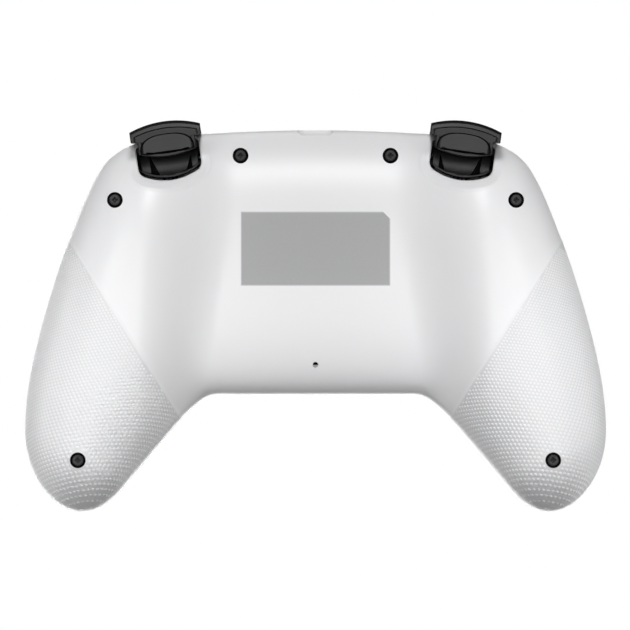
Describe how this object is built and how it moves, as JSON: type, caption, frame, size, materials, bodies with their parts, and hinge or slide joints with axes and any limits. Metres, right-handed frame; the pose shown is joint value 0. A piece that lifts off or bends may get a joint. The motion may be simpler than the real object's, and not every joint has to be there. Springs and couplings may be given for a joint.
{
  "type": "gamepad controller",
  "caption": "Handheld gamepad with a moulded two-grip housing, sprung triggers and bumpers, tilting thumbsticks, a rocking direction pad, press buttons and a USB-C socket.",
  "frame": {"origin": "on the table under the middle of the plan box, with the gamepad lying face up on its grips", "axes": "+X to the player's right, +Y away from the player towards the triggers and the USB-C socket, +Z out of the face"},
  "size_m": [0.1542, 0.1037, 0.0528],
  "materials": {
    "housing_white": "satin moulded, dotted on the grips",
    "trigger_black": "satin gloss",
    "button_black": "satin",
    "stick_rubber": "matte",
    "screw_black": "blackened",
    "label_grey": "matte film, bare",
    "frame_grey": "moulded",
    "board_green": "solder mask",
    "battery_foil": "foil pouch",
    "steel": "plated",
    "nylon_white": "moulded",
    "silicone": "matte"
  },
  "bodies": {
    "housing": {"front_cover": "housing_white", "rear_cover": "housing_white", "rear_screws": "screw_black", "rear_label": "label_grey", "mid_frame": "frame_grey", "main_board": "board_green", "battery": "battery_foil", "usb_board": "board_green", "usb_c_socket": "steel", "right_trigger_pin": "steel", "left_trigger_pin": "steel", "bumper_pins": "steel", "left_stick_module": "frame_grey", "left_stick_ring": "trigger_black", "right_stick_module": "frame_grey", "right_stick_ring": "trigger_black", "dpad_post": "nylon_white", "dpad_mat": "silicone", "face_button_mat": "silicone", "small_button_mat": "silicone", "right_motor": "steel", "left_motor": "steel", "reset_switch": "steel"},
    "right_trigger": {"right_trigger": "trigger_black", "right_trigger_spring": "steel"},
    "left_trigger": {"left_trigger": "trigger_black", "left_trigger_spring": "steel"},
    "right_bumper": {"right_bumper": "trigger_black"},
    "left_bumper": {"left_bumper": "trigger_black"},
    "left_stick_rocker": {"left_stick_rocker": "nylon_white"},
    "left_stick_pivot": {"left_stick_pivot": "nylon_white"},
    "left_stick": {"left_stick_shaft": "steel", "left_stick_cap": "stick_rubber"},
    "right_stick_rocker": {"right_stick_rocker": "nylon_white"},
    "right_stick_pivot": {"right_stick_pivot": "nylon_white"},
    "right_stick": {"right_stick_shaft": "steel", "right_stick_cap": "stick_rubber"},
    "dpad_ball": {"dpad_ball": "nylon_white"},
    "dpad": {"dpad": "button_black"},
    "upper_face_button": {"upper_face_button": "button_black"},
    "lower_face_button": {"lower_face_button": "button_black"},
    "left_face_button": {"left_face_button": "button_black"},
    "right_face_button": {"right_face_button": "button_black"},
    "home_button": {"home_button": "button_black"},
    "left_menu_button": {"left_menu_button": "button_black"},
    "right_menu_button": {"right_menu_button": "button_black"},
    "left_option_button": {"left_option_button": "button_black"},
    "right_option_button": {"right_option_button": "button_black"},
    "reset_plunger": {"reset_plunger": "button_black"},
    "right_motor_weight": {"right_motor_weight": "steel"},
    "left_motor_weight": {"left_motor_weight": "steel"}
  },
  "joints": [
    {"name": "right_trigger_pull", "type": "hinge", "parent": "housing", "child": "right_trigger", "pos_m": [0.0386, 0.0395, 0.0188], "axis": [-0.9903, 0.1392, 0], "range_deg": [0, 17], "stiffness_Nm_per_rad": 0.12, "springref_deg": -14.32},
    {"name": "right_bumper_press", "type": "hinge", "parent": "housing", "child": "right_bumper", "pos_m": [0.0272, 0.04291, 0.029], "axis": [0, 0, -1], "range_deg": [0, 2.5], "stiffness_Nm_per_rad": 0.5, "springref_deg": -2.86},
    {"name": "left_trigger_pull", "type": "hinge", "parent": "housing", "child": "left_trigger", "pos_m": [-0.0386, 0.0395, 0.0188], "axis": [-0.9903, -0.1392, 0], "range_deg": [0, 17], "stiffness_Nm_per_rad": 0.12, "springref_deg": -14.32},
    {"name": "left_bumper_press", "type": "hinge", "parent": "housing", "child": "left_bumper", "pos_m": [-0.0272, 0.04291, 0.029], "axis": [0, 0, 1], "range_deg": [0, 2.5], "stiffness_Nm_per_rad": 0.5, "springref_deg": -2.86},
    {"name": "left_stick_tilt_y", "type": "hinge", "parent": "housing", "child": "left_stick_rocker", "pos_m": [-0.042, 0.018, 0.0298], "axis": [1, 0, 0], "range_deg": [-20, 20], "stiffness_Nm_per_rad": 0.03},
    {"name": "left_stick_tilt_x", "type": "hinge", "parent": "left_stick_rocker", "child": "left_stick_pivot", "pos_m": [-0.042, 0.018, 0.0298], "axis": [0, 1, 0], "range_deg": [-20, 20], "stiffness_Nm_per_rad": 0.03},
    {"name": "left_stick_click", "type": "slide", "parent": "left_stick_pivot", "child": "left_stick", "axis": [0, 0, -1], "range_m": [0, 0.0005], "stiffness_N_per_m": 4000, "springref_m": -0.0003},
    {"name": "right_stick_tilt_y", "type": "hinge", "parent": "housing", "child": "right_stick_rocker", "pos_m": [0.021, 0.001, 0.0298], "axis": [1, 0, 0], "range_deg": [-20, 20], "stiffness_Nm_per_rad": 0.03},
    {"name": "right_stick_tilt_x", "type": "hinge", "parent": "right_stick_rocker", "child": "right_stick_pivot", "pos_m": [0.021, 0.001, 0.0298], "axis": [0, 1, 0], "range_deg": [-20, 20], "stiffness_Nm_per_rad": 0.03},
    {"name": "right_stick_click", "type": "slide", "parent": "right_stick_pivot", "child": "right_stick", "axis": [0, 0, -1], "range_m": [0, 0.0005], "stiffness_N_per_m": 4000, "springref_m": -0.0003},
    {"name": "dpad_tilt_y", "type": "hinge", "parent": "housing", "child": "dpad_ball", "pos_m": [-0.021, 0.001, 0.0298], "axis": [1, 0, 0], "range_deg": [-5, 5], "stiffness_Nm_per_rad": 0.1, "deforming": ["dpad_mat"]},
    {"name": "dpad_tilt_x", "type": "hinge", "parent": "dpad_ball", "child": "dpad", "pos_m": [-0.021, 0.001, 0.0298], "axis": [0, 1, 0], "range_deg": [-5, 5], "stiffness_Nm_per_rad": 0.1, "deforming": ["dpad_mat"]},
    {"name": "upper_face_button_press", "type": "slide", "parent": "housing", "child": "upper_face_button", "axis": [0, 0, -1], "range_m": [0, 0.0015], "stiffness_N_per_m": 500, "springref_m": -0.0005, "deforming": ["face_button_mat"]},
    {"name": "lower_face_button_press", "type": "slide", "parent": "housing", "child": "lower_face_button", "axis": [0, 0, -1], "range_m": [0, 0.0015], "stiffness_N_per_m": 500, "springref_m": -0.0005, "deforming": ["face_button_mat"]},
    {"name": "left_face_button_press", "type": "slide", "parent": "housing", "child": "left_face_button", "axis": [0, 0, -1], "range_m": [0, 0.0015], "stiffness_N_per_m": 500, "springref_m": -0.0005, "deforming": ["face_button_mat"]},
    {"name": "right_face_button_press", "type": "slide", "parent": "housing", "child": "right_face_button", "axis": [0, 0, -1], "range_m": [0, 0.0015], "stiffness_N_per_m": 500, "springref_m": -0.0005, "deforming": ["face_button_mat"]},
    {"name": "home_button_press", "type": "slide", "parent": "housing", "child": "home_button", "axis": [0, 0, -1], "range_m": [0, 0.0006], "stiffness_N_per_m": 800, "springref_m": -0.0005, "deforming": ["small_button_mat"]},
    {"name": "left_menu_button_press", "type": "slide", "parent": "housing", "child": "left_menu_button", "axis": [0, 0, -1], "range_m": [0, 0.0006], "stiffness_N_per_m": 800, "springref_m": -0.0005, "deforming": ["small_button_mat"]},
    {"name": "right_menu_button_press", "type": "slide", "parent": "housing", "child": "right_menu_button", "axis": [0, 0, -1], "range_m": [0, 0.0006], "stiffness_N_per_m": 800, "springref_m": -0.0005, "deforming": ["small_button_mat"]},
    {"name": "left_option_button_press", "type": "slide", "parent": "housing", "child": "left_option_button", "axis": [0, 0, -1], "range_m": [0, 0.0006], "stiffness_N_per_m": 800, "springref_m": -0.0005, "deforming": ["small_button_mat"]},
    {"name": "right_option_button_press", "type": "slide", "parent": "housing", "child": "right_option_button", "axis": [0, 0, -1], "range_m": [0, 0.0006], "stiffness_N_per_m": 800, "springref_m": -0.0005, "deforming": ["small_button_mat"]},
    {"name": "reset_press", "type": "slide", "parent": "housing", "child": "reset_plunger", "axis": [0, 0, 1], "range_m": [0, 0.00025], "stiffness_N_per_m": 4000, "springref_m": -0.0002},
    {"name": "right_motor_spin", "type": "hinge", "parent": "housing", "child": "right_motor_weight", "pos_m": [0.056, -0.0236, 0.014], "axis": [0, 1, 0], "continuous": true},
    {"name": "left_motor_spin", "type": "hinge", "parent": "housing", "child": "left_motor_weight", "pos_m": [-0.056, -0.0236, 0.014], "axis": [0, 1, 0], "continuous": true}
  ]
}
